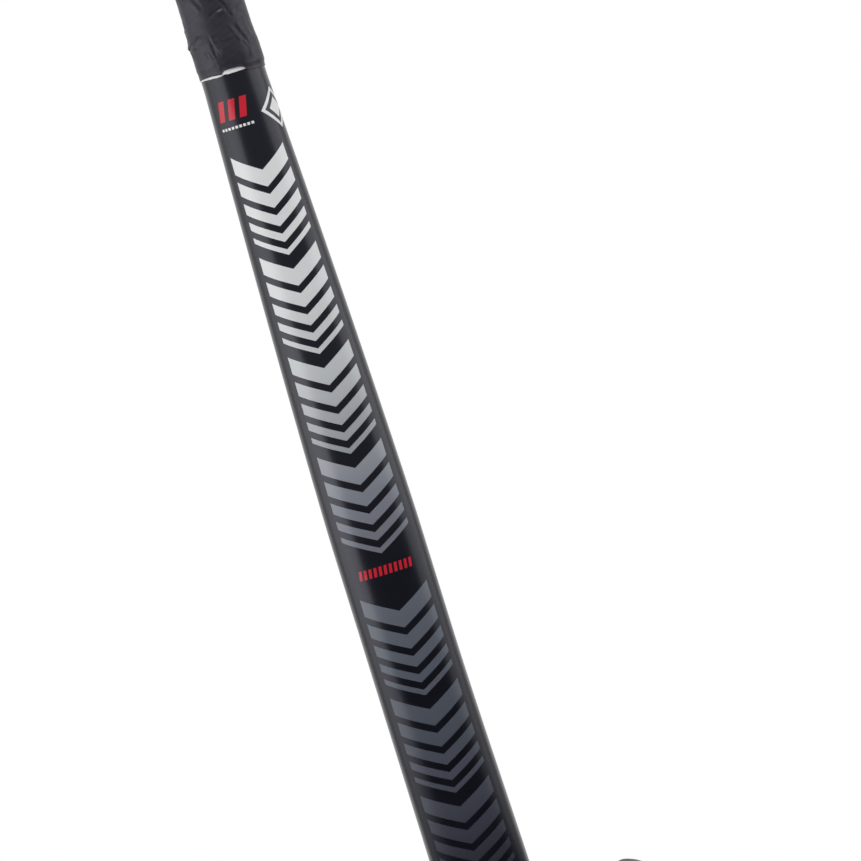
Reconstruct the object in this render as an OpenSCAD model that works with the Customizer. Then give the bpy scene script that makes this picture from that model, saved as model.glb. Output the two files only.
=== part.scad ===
// Field hockey stick, composite, low bow, for the right hand.
// +Z runs up the handle's axis, +X points towards the toe, +Y is the flat playing side and -Y the rounded
// back. The origin is on the handle's axis where the upper hand closes. Heights are measured along the stick
// from the base of the head, before the bow bends it.

/* [Stick] */
// Length along the stick, from the base of the head to the end of the butt
stick_len = 927; // [890:1:980]
// Height at which the grip ends and the bare shaft begins
grip_end = 524; // [500:1:545]
// Distance from the end of the butt to the middle of the upper hand
hand_drop = 50; // [45:1:90]

/* [Bow] */
// Angle between the handle and the head, seen from the side
bow_angle = 10; // [4:0.5:11]
// Height at which the shaft starts to curve
bow_top = 380; // [340:5:420]
// Height at which the curve ends and the head's flat face begins
bow_base = 110; // [104:1:130]

/* [Shaft] */
// Diameter of the bare handle under the grip
handle_d = 28; // [27:0.1:28.6]
// Width of the shaft where the grip ends
neck_w = 32.1; // [31.8:0.1:32.4]
// Depth of the shaft where the grip ends
neck_t = 30.6; // [29.5:0.1:31.5]
// Width of the lower shaft
shaft_w = 45; // [43:0.1:46]
// Depth of the lower shaft
shaft_t = 23; // [21:0.1:25]
// How much wider the toe side gets towards the crook
crook_flare = 2.7; // [0:0.1:3]
// Height below which the shaft keeps its full width
full_h = 286; // [260:2:320]
// Thickness of the laminate in the shaft
wall = 2.2; // [1.8:0.1:2.6]

/* [Head] */
// Height of the toe above the base
toe_h = 93; // [88:0.5:100]
// Distance from the shaft's centre line to the toe's
toe_x = 68.5; // [66:0.5:76]
// Width of the head at its base, from the crook to the ground
head_w = 42; // [40:0.5:44]
// Width of the toe
toe_w = 27; // [24:0.5:30]
// Thickness of the head
head_t = 20.5; // [19:0.1:22]
// Thickness of the laminate round the head's core
head_skin = 3; // [2.4:0.1:3.6]

/* [Grip] */
// Diameter over the wound grip, without its laps
grip_d = 31.6; // [31.4:0.1:32.4]
// Turns of the grip strip
grip_turns = 14; // [11:1:16]
// How far each turn's overlapped edge stands up
lap = 0.8; // [0:0.1:1]
// How far the strip's doubled end swells under the finishing band
swell = 0.65; // [0:0.05:0.8]
// Length of the finishing band at the grip's lower end
band_len = 48; // [46:1:60]
// Thickness of the finishing band
band_t = 0.35; // [0.25:0.05:0.5]
// Width of the white underlay that shows below the band
underlay_show = 2; // [0.5:0.5:4]

/* [Butt end] */
// Diameter of the butt cap
cap_d = 34; // [34:0.1:36]
// Height of the butt cap
cap_h = 14; // [12:1:20]
// Rounding of the cap's top edge
cap_round = 3; // [1:0.5:4]
// Length of the plug inside the handle
plug_len = 24; // [21:3:39]
// Length of the foam below the plug
foam_len = 90; // [60:5:140]

/* [Hidden] */

// Clearances and thin layers
gap = 0.05;
bladder_t = 0.5;
underlay_t = 0.17;

// Steps round each face corner and each half of the back, steps down the stick, degrees a step round the
// hook, rows in a turn of the grip, and the share of a turn in which its lap rises
corner_steps = 6;
back_steps = 8;
flare_steps = 7;
shaft_steps = 24;
hook_step = 7.5;
turn_rows = 6;
lap_edge = 0.2;

// Section of the stick: radius of the face's corners, half of the flat that is left on the round handle, and
// power of the back's curve, which is 2 on an ellipse
head_corner = 4;
neck_corner = 12.5;
handle_flat = 0.15;
head_power = 2.4;
neck_power = 2;
face_t = 0.47 * head_t;
taper_power = 1.35;
head_blend = 70;

// Heights along the stick
flare_len = 42;
neck_h = grip_end - flare_len / flare_steps;
core_top = bow_base + 2;
cap_base = stick_len - cap_h;
shell_top = stick_len - 6;
plug_base = shell_top - plug_len;
band_top = grip_end + band_len;
wrap_base = grip_end + 2 * flare_len / flare_steps;
wrap_top = cap_base - gap;
hand_h = stick_len - hand_drop;
swell_h = grip_end + 16;
swell_len = 20;
flare_heights = [for (k = [flare_steps : -1 : 0]) grip_end + flare_len * k / flare_steps];
wrapped_heights = [for (h = flare_heights) if (h > wrap_base - 1) h];

// Centre line of the head, the height at which the shaft starts to widen towards the crook, and the turn at
// which the head starts to thin towards the toe, whose tip closes in a few turns to a share of its thickness
hook_r = toe_x / 2;
hook_h = hook_r + head_w / 2;
crook_top = 235;
toe_root_w = toe_w + 4;
thin_from = 60;
tip_turns = [20, 38, 54, 68, 79];
tip_flat = 0.6;
bow_r = (bow_top - bow_base) * 180 / PI / bow_angle;

function mix(a, b, t) = a + (b - a) * t;
function ease(t) = let (c = min(max(t, 0), 1)) c * c * (3 - 2 * c);
function reverse(list) = [for (i = [len(list) - 1 : -1 : 0]) list[i]];

// 1 on the round handle and 0 where the grip ends
function flare(h) = ease((h - grip_end) / flare_len);
// 1 where the grip ends and 0 at the lower end of the bow
function up_shaft(h) = ease((h - bow_base) / (grip_end - bow_base));
// How far the neck's taper has gone: 1 at the neck and 0 where the shaft has its full width
function taper(h) = pow(min(max((h - full_h) / (neck_h - full_h), 0), 1), taper_power);

function half_w(h) = mix(mix(shaft_w, neck_w, taper(h)), handle_d, flare(h)) / 2;
// The depth lies on both sides of the centre line: the face's side stays the same all over the head
function face_d(h) = mix(mix(face_t, neck_t / 2, up_shaft(h)), handle_d / 2, flare(h));
function back_d(h) =
    let (lower = mix(head_t, shaft_t, ease((h - hook_h) / head_blend)) - face_t)
    mix(mix(lower, neck_t / 2, up_shaft(h)), handle_d / 2, flare(h));
function corner_r(h) = mix(mix(head_corner, neck_corner, up_shaft(h)), handle_d / 2 - handle_flat, flare(h));
function back_power(h) = mix(head_power, neck_power, up_shaft(h));

// A station is [x, height, turn of the path, half width away from the crook, half width to it, face, back,
// corner radius, power of the back]
function shaft_station(h) =
    let (w = half_w(h), crook = crook_flare * ease((crook_top - h) / (crook_top - hook_h)))
    [0, h, 0, w, w + crook, face_d(h), back_d(h), corner_r(h), back_power(h)];
function hook_station(turn) =
    let (s = shaft_station(hook_h), round = ease(turn / 90),
        thin = ease((turn - thin_from) / (180 - thin_from)),
        outer = mix(mix(s[3], head_w / 2, round), toe_root_w / 2, thin),
        inner = mix(mix(s[4], head_w / 2 - 1, round), toe_root_w / 2, thin))
    [hook_r * (1 - cos(turn)), hook_h - hook_r * sin(turn), turn, outer, inner, s[5], s[6], s[7], s[8]];
// The toe's arm, from up = 0 at the end of the hook to 1, and its tip, which closes as close goes from 0
// to 90
function toe_station(up, close = 0) =
    let (s = hook_station(180), r = toe_w / 2, w = mix(toe_root_w / 2, r, ease(up)) * cos(close),
        t = mix(tip_flat, 1, cos(close)), corner = min(s[7], w * 0.8))
    [toe_x, mix(hook_h, toe_h - r, up) + r * sin(close), 180, w, w, s[5] * t, s[6] * t, corner, s[8]];
function run(from, to, steps) = [for (i = [0 : steps]) shaft_station(mix(from, to, i / steps))];

// Half a section as [across, depth] points, from the start of the face's corner to the middle of the back
function half_section(w, face, back, r, power) = concat(
    [for (i = [0 : corner_steps])
        let (a = 90 * i / corner_steps)
        [w - r + r * sin(a), face - r + r * cos(a)]],
    [for (j = [1 : back_steps])
        let (a = 90 * j / back_steps)
        [w * pow(cos(a), 2 / power), face - r - (back + face - r) * pow(sin(a), 2 / power)]]);
// The whole section of a station, with its outline moved in by inset
function section(s, inset) =
    let (r = max(1.2, s[7] - inset),
        inner = half_section(s[4] - inset, s[5] - inset, s[6] - inset, r, s[8]),
        outer = half_section(s[3] - inset, s[5] - inset, s[6] - inset, r, s[8]))
    concat(inner, [for (i = [len(outer) - 2 : -1 : 0]) [-outer[i][0], outer[i][1]]]);

// Carries a point from the straight stick onto the bowed one
function bend(x, t, h) =
    let (a = bow_angle * min(max((bow_top - h) / (bow_top - bow_base), 0), 1), below = max(0, bow_base - h))
    [x, bow_r * (1 - cos(a)) + below * sin(a) + t * cos(a),
        max(h, bow_top) - bow_r * sin(a) - below * cos(a) + t * sin(a) - hand_h];
function ring(s, inset = 0) =
    [for (p = section(s, inset)) bend(s[0] + p[0] * cos(s[2]), p[1], s[1] + p[0] * sin(s[2]))];
function rings(stations, inset = 0) = [for (s = stations) ring(s, inset)];
// A ring on the handle that lies rise above the laminate
function layer(h, rise) = ring(shaft_station(h), -rise);
function layers(heights, rise) = [for (h = heights) layer(h, rise)];

function middle(ring) = [for (k = [0 : 2]) (max([for (p = ring) p[k]]) + min([for (p = ring) p[k]])) / 2];

// Skin over rings of points. As a loop it closes on itself like a sleeve, otherwise each end is closed by a
// fan of triangles round its middle.
module loft(rings, loop = false) {
    n = len(rings[0]);
    m = len(rings);
    last = (m - 1) * n;
    sides = [for (j = [0 : m - (loop ? 1 : 2)], i = [0 : n - 1])
        let (a = j * n, b = (j + 1) % m * n, k = (i + 1) % n)
        each [[a + i, b + i, b + k], [a + i, b + k, a + k]]];
    ends = loop ? [] : [for (i = [0 : n - 1])
        let (k = (i + 1) % n)
        each [[m * n, i, k], [m * n + 1, last + k, last + i]]];
    middles = loop ? [] : [middle(rings[0]), middle(rings[m - 1])];
    polyhedron(concat([for (r = rings) each r], middles), concat(sides, ends), convexity = 8);
}

// Stations of the outside, from the butt to the tip of the toe
handle_stations = [for (h = concat([shell_top], flare_heights)) shaft_station(h)];
outside = concat(
    handle_stations,
    run(neck_h, core_top, shaft_steps),
    run(mix(core_top, hook_h, 0.25), hook_h, 3),
    [for (turn = [hook_step : hook_step : 180]) hook_station(turn)],
    [toe_station(0.5), toe_station(1)],
    [for (close = tip_turns) toe_station(1, close)]);
// Stations of the hollow, in its tube and in its head, which take half as many steps
tube_inside = concat(handle_stations, run(neck_h, core_top, shaft_steps / 2));
head_inside = concat(
    [shaft_station(mix(core_top, hook_h, 0.5))],
    [for (turn = [0 : 2 * hook_step : 180]) hook_station(turn)],
    [toe_station(0.5), toe_station(1)]);

// Rings inside the laminate, with more room to its wall where that is asked for
function hollow(stations, more = 0) =
    [for (s = stations) ring(s, mix(head_skin, wall, ease((s[1] - bow_base) / 60)) + more)];

module laminate_shell() {
    color("#1c1c1f")
    loft(concat(reverse(hollow(concat(tube_inside, head_inside))), rings(outside)));
}

module head_core() {
    color("#c9b48a")
    loft(hollow(concat([shaft_station(core_top)], head_inside), gap));
}

module bladder_tube() {
    between = [for (s = tube_inside) if (s[1] < plug_base && s[1] > core_top) s];
    tube = concat([shaft_station(plug_base - gap)], between);
    color("#d8d4c4")
    loft(concat(
        hollow([shaft_station(core_top + 2 * bladder_t)], gap + bladder_t),
        reverse(hollow(tube, gap + bladder_t)),
        hollow(tube, gap),
        hollow([shaft_station(core_top + bladder_t)], gap)));
}

// Moves a piece of the handle up to its height
module at_height(h) {
    translate([0, 0, h - hand_h]) children();
}

module handle_foam() {
    color("#e3c98f")
    at_height(plug_base - foam_len - 1)
    cylinder(h = foam_len, r = handle_d / 2 - wall - bladder_t - 4 * gap, $fn = 96);
}

module butt_plug() {
    r = handle_d / 2 - wall - 3 * gap;
    flange_t = 2;
    flange_r = handle_d / 2 - gap;
    cup_wall = 3;
    rib = 3;
    rib_d = 0.4;
    color("#5a5a5e")
    at_height(plug_base)
    rotate_extrude($fn = 96)
    polygon(concat(
        [[0, plug_len + flange_t], [flange_r, plug_len + flange_t], [flange_r, plug_len + gap]],
        [for (h = [plug_len - rib : -2 * rib : rib])
            each [[r - rib_d, h + rib / 2], [r, h], [r - rib_d, h - rib_d]]],
        [[r - 2 * rib_d, 0], [r - cup_wall, 0], [r - cup_wall, plug_len - cup_wall],
            [0, plug_len - cup_wall]]));
}

module butt_cap() {
    r = cap_d / 2;
    bore_r = handle_d / 2 + 3 * gap;
    roof = shell_top + 2 + gap - cap_base;
    color("#202022")
    at_height(cap_base)
    rotate_extrude($fn = 96)
    difference() {
        union() {
            square([r, cap_h - cap_round]);
            square([r - cap_round, cap_h]);
            translate([r - cap_round, cap_h - cap_round]) circle(cap_round, $fn = 48);
        }
        translate([-1, -1]) square([bore_r + 1, roof + 1]);
    }
}

module grip_underlay() {
    heights = concat([wrap_top], flare_heights, [grip_end - underlay_show]);
    color("#e8e8e4")
    loft(concat(layers(heights, gap + underlay_t), layers(reverse(heights), gap)), loop = true);
}

// Height of the wound grip above the laminate, without its laps
function grip_rise(h) = grip_d / 2 + swell * (1 - ease(abs(h - swell_h) / swell_len)) - half_w(h);
// The laps: each turn of the strip stands proud where it covers the one below, and sinks towards the next
function lap_rise(h, angle) =
    let (pitch = (wrap_top - band_top) / grip_turns, turn = (h - band_top) / pitch + angle / 360,
        phase = turn - floor(turn))
    lap * ease((h - band_top) / 6) * (phase < lap_edge ? phase / lap_edge : (1 - phase) / (1 - lap_edge));

module grip_wrap() {
    rows = grip_turns * turn_rows;
    heights = concat([for (j = [0 : rows]) mix(wrap_top, band_top, j / rows)], wrapped_heights);
    outer = [for (h = heights)
        [for (p = layer(h, grip_rise(h)))
            let (up = 1 + lap_rise(h, atan2(p[1], p[0])) / norm([p[0], p[1]]))
            [p[0] * up, p[1] * up, p[2]]]];
    inner = layers(reverse(concat([wrap_top], wrapped_heights)), 2 * gap + underlay_t);
    color("#2c2c2f")
    loft(concat(outer, inner), loop = true);
}

module finishing_band() {
    over_grip = concat([band_top], wrapped_heights);
    end_h = grip_end + gap;
    end_rise = 3 * gap + underlay_t;
    end_t = 0.12;
    shoulder_h = mix(grip_end, wrap_base, 0.33);
    shoulder_rise = mix(end_rise, grip_rise(wrap_base), 0.55) + band_t;
    color("#262628")
    loft(concat(
        [for (h = over_grip) layer(h, grip_rise(h) + band_t)],
        [layer(shoulder_h, shoulder_rise), layer(end_h, end_rise + end_t), layer(end_h, end_rise),
            layer(wrap_base - gap, end_rise)],
        [for (h = reverse(over_grip)) layer(h, grip_rise(h) + 2 * gap)]), loop = true);
}

laminate_shell();
head_core();
bladder_tube();
handle_foam();
butt_plug();
butt_cap();
grip_underlay();
grip_wrap();
finishing_band();
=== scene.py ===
# Field hockey stick: lacquered laminate shaft and head with printed bars, wound cushion grip, finishing band,
# white underlay and butt cap.
import math

import bpy
import numpy as np
from mathutils import Matrix, Vector


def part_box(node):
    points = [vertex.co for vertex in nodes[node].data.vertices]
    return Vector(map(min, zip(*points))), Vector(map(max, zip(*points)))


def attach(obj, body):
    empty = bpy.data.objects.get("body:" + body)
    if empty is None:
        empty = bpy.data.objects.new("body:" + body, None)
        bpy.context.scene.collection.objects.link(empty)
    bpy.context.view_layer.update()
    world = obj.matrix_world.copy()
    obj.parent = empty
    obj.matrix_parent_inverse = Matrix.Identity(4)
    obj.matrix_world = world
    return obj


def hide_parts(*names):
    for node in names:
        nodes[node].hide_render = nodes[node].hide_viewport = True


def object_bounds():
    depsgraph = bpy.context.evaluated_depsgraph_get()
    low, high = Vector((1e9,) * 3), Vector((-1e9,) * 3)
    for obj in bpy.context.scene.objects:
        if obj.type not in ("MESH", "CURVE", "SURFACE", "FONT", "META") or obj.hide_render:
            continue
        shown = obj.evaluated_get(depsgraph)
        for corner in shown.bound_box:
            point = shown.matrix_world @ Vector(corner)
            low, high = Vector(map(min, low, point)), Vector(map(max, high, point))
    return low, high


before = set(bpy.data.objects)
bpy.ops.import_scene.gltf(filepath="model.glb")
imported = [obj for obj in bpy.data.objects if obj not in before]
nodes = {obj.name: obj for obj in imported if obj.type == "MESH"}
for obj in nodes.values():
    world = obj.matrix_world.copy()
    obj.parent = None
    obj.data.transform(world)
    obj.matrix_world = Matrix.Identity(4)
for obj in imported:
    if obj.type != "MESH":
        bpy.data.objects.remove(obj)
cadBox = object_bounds()
mm = 0.001
print("frame loaded:", sorted(nodes))

# The stick's own shape, in millimetres, as the construction has it.
stick = dict(
    length=927.0, gripEnd=524.0,
    bowAngle=10.0, bowTop=380.0, bowBase=110.0,
    handleDia=28.0, neckWidth=32.1, neckDepth=30.6, shaftWidth=45.0, shaftDepth=23.0,
    fullHeight=286.0, taperPower=1.35, flareLength=42.0, crookFlare=2.7, crookTop=235.0,
    toeHeight=93.0, toeX=68.5, toeWidth=27.0, headWidth=42.0, headDepth=20.5,
    faceShare=0.47, headBlend=70.0, toeRoot=4.0, thinFrom=60.0, tipFlat=0.6,
    headCorner=4.0, neckCorner=12.5, handleFlat=0.15, headPower=2.4, neckPower=2.0,
)
stick["faceDepth"] = stick["faceShare"] * stick["headDepth"]
stick["hookRadius"] = stick["toeX"] / 2
stick["hookHeight"] = stick["hookRadius"] + stick["headWidth"] / 2
stick["neckHeight"] = stick["gripEnd"] - stick["flareLength"] / 7
stick["bowRadius"] = (stick["bowTop"] - stick["bowBase"]) / math.radians(stick["bowAngle"])
stick["handHeight"] = stick["length"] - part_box("butt_cap")[1].z / mm
capBase = stick["handHeight"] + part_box("butt_cap")[0].z / mm
bandTop = stick["handHeight"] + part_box("finishing_band")[1].z / mm


def mix(a, b, t):
    return a + (b - a) * t


# smooth step: 3t^2 - 2t^3 between 0 and 1
def ease(t):
    c = np.clip(t, 0, 1)
    return c * c * (3 - 2 * c)


# bell of height 1 and the given width at 60% height: exp(-(x / width)^2 / 2)
def bell(x, width):
    return np.exp(-0.5 * (x / width) ** 2)


# share of the round handle in the section at height h: 1 on the handle, 0 where the grip ends
def flareAt(h):
    return ease((h - stick["gripEnd"]) / stick["flareLength"])


# share of the neck's section at height h: 1 where the grip ends, 0 at the lower end of the bow
def upShaft(h):
    return ease((h - stick["bowBase"]) / (stick["gripEnd"] - stick["bowBase"]))


# half the shaft's width: the full width, narrowed to the neck by a power of the height, then to the round handle
def halfWidth(h):
    s = stick
    rise = np.clip((h - s["fullHeight"]) / (s["neckHeight"] - s["fullHeight"]), 0, 1) ** s["taperPower"]
    return mix(mix(s["shaftWidth"], s["neckWidth"], rise), s["handleDia"], flareAt(h)) / 2


# one row for each height: x, height, turn, outer half width, inner half width, face, back, corner, power
def shaftStations(h):
    s = stick
    h = np.asarray(h, float)
    w = halfWidth(h)
    up, flare = upShaft(h), flareAt(h)
    crook = s["crookFlare"] * ease((s["crookTop"] - h) / (s["crookTop"] - s["hookHeight"]))
    face = mix(mix(s["faceDepth"], s["neckDepth"] / 2, up), s["handleDia"] / 2, flare)
    lower = mix(s["headDepth"], s["shaftDepth"], ease((h - s["hookHeight"]) / s["headBlend"])) - s["faceDepth"]
    back = mix(mix(lower, s["neckDepth"] / 2, up), s["handleDia"] / 2, flare)
    corner = mix(mix(s["headCorner"], s["neckCorner"], up), s["handleDia"] / 2 - s["handleFlat"], flare)
    power = mix(s["headPower"], s["neckPower"], up)
    zero = np.zeros_like(h)
    return np.stack([zero, h, zero, w, w + crook, face, back, corner, power], 1)


# the hook's path is a half circle; widths ease from the heel to the base and thin towards the toe
def hookStations(turn):
    s = stick
    turn = np.asarray(turn, float)
    a = np.radians(turn)
    rows = np.repeat(shaftStations([s["hookHeight"]]), len(turn), 0)
    heelOut, heelIn = rows[0, 3], rows[0, 4]
    root = (s["toeWidth"] + s["toeRoot"]) / 2
    rounded, thin = ease(turn / 90), ease((turn - s["thinFrom"]) / (180 - s["thinFrom"]))
    rows[:, 0] = s["hookRadius"] * (1 - np.cos(a))
    rows[:, 1] = s["hookHeight"] - s["hookRadius"] * np.sin(a)
    rows[:, 2] = turn
    rows[:, 3] = mix(mix(heelOut, s["headWidth"] / 2, rounded), root, thin)
    rows[:, 4] = mix(mix(heelIn, s["headWidth"] / 2 - 1, rounded), root, thin)
    return rows


# the toe's arm runs straight up, and its tip closes like a quarter circle
def toeStations(up, close):
    s = stick
    up, close = np.asarray(up, float), np.radians(np.asarray(close, float))
    rows = np.repeat(hookStations([180.0]), len(up), 0)
    r = s["toeWidth"] / 2
    w = mix(r + s["toeRoot"] / 2, r, ease(up)) * np.cos(close)
    t = mix(s["tipFlat"], 1, np.cos(close))
    rows[:, 0] = s["toeX"]
    rows[:, 1] = mix(s["hookHeight"], s["toeHeight"] - r, up) + r * np.sin(close)
    rows[:, 3] = rows[:, 4] = w
    rows[:, 5] *= t
    rows[:, 6] *= t
    rows[:, 7] = np.minimum(rows[:, 7], w * 0.8)
    return rows


# half a section: a flat of the face, a round corner, then a quarter of a superellipse to the middle of the back
def halfSection(w, face, back, corner, power, flats, corners, backs):
    w, face, back, corner, power = (v[:, None] for v in (w, face, back, corner, power))
    f = np.linspace(0, 1, flats, endpoint=False)
    a = np.linspace(0, math.pi / 2, corners, endpoint=False)
    b = np.linspace(0, math.pi / 2, backs)
    cosB, sinB = np.clip(np.cos(b), 0, 1), np.sin(b)
    x = np.hstack([(w - corner) * f, w - corner + corner * np.sin(a), w * cosB ** (2 / power)])
    low = back + face - corner
    t = np.hstack([face + 0 * f, face - corner + corner * np.cos(a), face - corner - low * sinB ** (2 / power)])
    return x, t


# whole sections, one row for each station: across and depth, from the face's middle round by the outer side
def sections(rows, flats=5, corners=12, backs=40):
    common = (rows[:, 5], rows[:, 6], rows[:, 7], rows[:, 8], flats, corners, backs)
    xi, ti = halfSection(rows[:, 4], *common)
    xo, to = halfSection(rows[:, 3], *common)
    return np.hstack([-xo, xi[:, -2:0:-1]]), np.hstack([to, ti[:, -2:0:-1]])


# carries straight points onto the bowed stick: an arc of the bow's radius, straight on below it, in metres
def bend(x, t, h):
    s = stick
    share = np.clip((s["bowTop"] - h) / (s["bowTop"] - s["bowBase"]), 0, 1)
    a = np.radians(s["bowAngle"]) * share
    below = np.maximum(0, s["bowBase"] - h)
    y = s["bowRadius"] * (1 - np.cos(a)) + below * np.sin(a) + t * np.cos(a)
    z = np.maximum(h, s["bowTop"]) - s["bowRadius"] * np.sin(a) - below * np.cos(a) + t * np.sin(a)
    return np.stack([x + 0 * y, y, z - s["handHeight"]], -1) * mm


# places whole sections along their path, turned in the head's plane
def placeSections(rows, x, t):
    a = np.radians(rows[:, 2])[:, None]
    return bend(rows[:, :1] + x * np.cos(a), t, rows[:, 1:2] + x * np.sin(a))


# an object in the scene from points and faces
def finishMesh(name, verts, faces, smooth=True):
    mesh = bpy.data.meshes.new(name)
    mesh.from_pydata(verts.tolist(), [], faces)
    mesh.validate()
    mesh.polygons.foreach_set("use_smooth", np.full(len(mesh.polygons), smooth))
    piece = bpy.data.objects.new(name, mesh)
    bpy.context.scene.collection.objects.link(piece)
    return piece


# faces of a grid of m rows by n columns whose first vertex is number start
def gridFaces(m, n, start=0, wrapRows=False, wrapColumns=True):
    i = np.arange(m if wrapRows else m - 1)[:, None]
    j = np.arange(n if wrapColumns else n - 1)[None, :]
    iNext, jNext = (i + 1) % m, (j + 1) % n
    quads = np.stack([i * n + j, iNext * n + j, iNext * n + jNext, i * n + jNext], -1)
    return (quads.reshape(-1, 4) + start).tolist()


# closed skin over rings: rows of points, with a pole in the middle of the first and the last ring
def closedSkin(name, rings):
    m, n = rings.shape[:2]
    poles = np.stack([rings[0].mean(0), rings[-1].mean(0)])
    verts = np.vstack([rings.reshape(-1, 3), poles])
    k = np.arange(n)
    first = np.stack([np.full(n, m * n), k, (k + 1) % n], 1).tolist()
    last = np.stack([np.full(n, m * n + 1), (m - 1) * n + (k + 1) % n, (m - 1) * n + k], 1).tolist()
    return finishMesh(name, verts, gridFaces(m, n) + first + last)


# sleeve: rows of points down the outside and back up the inside, closed on themselves
def sleeve(name, rings):
    m, n = rings.shape[:2]
    return finishMesh(name, rings.reshape(-1, 3), gridFaces(m, n, wrapRows=True))


# Rows of the outside down the handle, neck, shaft, bow's foot, hook and toe. Its top lies inside the butt cap.
shaft = dict(
    handleRows=14, neckRows=12, shaftRows=210, lowerRows=30, hookDegrees=1.5, toeRows=14, tipRows=16,
    topInCap=6.0, tipClose=88.0,
)


def outsideStations():
    s, c = stick, shaft
    shellTop = stick["length"] - c["topInCap"]
    close = c["tipClose"] * np.sin(np.linspace(0, math.pi / 2, c["tipRows"] + 1)[1:])
    parts = [
        shaftStations(np.linspace(shellTop, s["gripEnd"] + s["flareLength"], c["handleRows"])),
        shaftStations(np.linspace(s["gripEnd"] + s["flareLength"], s["neckHeight"], c["neckRows"])[1:]),
        shaftStations(np.linspace(s["neckHeight"], s["bowBase"], c["shaftRows"])[1:]),
        shaftStations(np.linspace(s["bowBase"], s["hookHeight"], c["lowerRows"])[1:]),
        hookStations(np.arange(c["hookDegrees"], 180.01, c["hookDegrees"])),
        toeStations(np.linspace(0, 1, c["toeRows"])[1:], np.zeros(c["toeRows"] - 1)),
        toeStations(np.ones(c["tipRows"]), close),
    ]
    return np.vstack(parts)


# whole sections along the path, closed inside the butt cap and at the toe's tip
def makeShaft():
    rows = outsideStations()
    x, t = sections(rows)
    piece = closedSkin("shaft_and_head", placeSections(rows, x, t))
    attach(piece, "root")
    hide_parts("laminate_shell")
    return piece


shaftPiece = makeShaft()
print("shaft and head:", len(shaftPiece.data.polygons), "faces")


# the shaft's back as a chart: f runs across it from -1 to 1 between its widest lines, h is the height
chart = dict(
    heights=np.arange(stick["bowBase"] - 2, stick["gripEnd"] + 1, 1.0), across=np.linspace(-1.6, 1.6, 513),
)


# each outline is measured from the middle of the back, and f is that arc over the arc to the widest line
def chartSide(rows, column, sign, across, backs=200):
    x, t = halfSection(rows[:, column], rows[:, 5], rows[:, 6], rows[:, 7], rows[:, 8], 10, 40, backs)
    x, t = sign * x[:, ::-1], t[:, ::-1]
    run = np.hstack([np.zeros((len(x), 1)), np.cumsum(np.hypot(np.diff(x), np.diff(t)), 1)])
    share = run / run[:, backs - 1:backs]
    return [np.array([np.interp(across, r, v) for r, v in zip(share, values)]) for values in (x, t)]


def makeChart():
    rows = shaftStations(chart["heights"])
    f = chart["across"][chart["across"] >= 0]
    xr, tr = chartSide(rows, 4, 1, f)
    xl, tl = chartSide(rows, 3, -1, f)
    x, t = np.hstack([xl[:, :0:-1], xr]), np.hstack([tl[:, :0:-1], tr])
    points = bend(x, t, chart["heights"][:, None])
    out = np.cross(np.gradient(points, axis=1), np.gradient(points, axis=0))
    chart["points"] = points
    chart["normals"] = out / np.linalg.norm(out, axis=-1, keepdims=True)


makeChart()


# the chart's point and normal at f and h, mixed from its four nearest entries, lifted off the skin
def onSkin(f, h, lift):
    i = (h - chart["heights"][0]) / (chart["heights"][1] - chart["heights"][0])
    j = (f - chart["across"][0]) / (chart["across"][1] - chart["across"][0])
    i0 = np.clip(np.floor(i).astype(int), 0, len(chart["heights"]) - 2)
    j0 = np.clip(np.floor(j).astype(int), 0, len(chart["across"]) - 2)
    u, v = (i - i0)[..., None], (j - j0)[..., None]

    def read(table):
        near = mix(table[i0, j0], table[i0, j0 + 1], v)
        return mix(near, mix(table[i0 + 1, j0], table[i0 + 1, j0 + 1], v), u)

    return read(chart["points"]) + read(chart["normals"]) * lift * mm


# Printed marks on the back are thin closed films on the lacquer, placed by f and by s, the distance below the
# grip's end. neckArc is the arc from the middle of the back to the widest line at the neck.
prints = dict(
    film=0.06, under=0.01, step=1.2,
    reach=0.55, dip=10.0, strokes=(8.6, 7.1, 5.6, 4.2, 2.8), space=3.8, groupSpace=7.2,
    columns=((40.0, 4), (265.0, 3)),
    slashes=(-0.46, -0.24, -0.02), slashWidth=0.13, slashLean=0.09, slashTop=12.5, slashLength=10.0,
    dashRow=25.8, dashLength=1.3, dashes=9,
    diamond=(0.72, 22.5, 10.5), diamondStroke=0.22, diamondHeart=0.5, neckArc=25.0,
    dashWidth=0.05, dashSpan=(-0.55, 0.06),
    squareRow=251.5, squareLength=4.6, squareWidth=0.045, squareLean=0.02, squareSpan=(-0.42, 0.36), squares=11,
)


# one film over a grid of f and s: its top, its underside, and the rim between them
def film(f, s):
    m, n = f.shape
    h = stick["gripEnd"] - s
    top, low = onSkin(f, h, prints["film"]), onSkin(f, h, prints["under"])
    verts = np.vstack([top.reshape(-1, 3), low.reshape(-1, 3)])
    up = gridFaces(m, n, wrapColumns=False)
    down = [q[::-1] for q in gridFaces(m, n, m * n, wrapColumns=False)]
    k = np.arange(m * n).reshape(m, n)
    edge = np.concatenate([k[0, :-1], k[:-1, -1], k[-1, :0:-1], k[:0:-1, 0]])
    after = np.roll(edge, -1)
    rim = np.stack([edge, after, after + m * n, edge + m * n], 1).tolist()
    return verts, up + down + rim


# one piece from many films
def joinFilms(name, films):
    verts, faces, start = [], [], 0
    for v, q in films:
        verts.append(v)
        faces += [[k + start for k in face] for face in q]
        start += len(v)
    piece = finishMesh(name, np.vstack(verts), faces, smooth=False)
    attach(piece, "root")
    return piece


# chevron: s falls from both ends to the middle by the dip, and a stroke's width is added down the shaft
def chevron(top, stroke):
    c = prints
    f = np.linspace(-c["reach"], c["reach"], 41)[None, :]
    q = np.linspace(0, 1, 2 + int(stroke / c["step"]))[:, None]
    s = top + c["dip"] * (1 - np.abs(f) / c["reach"]) + q * stroke
    return film(f + 0 * q, s + 0 * f)


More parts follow.
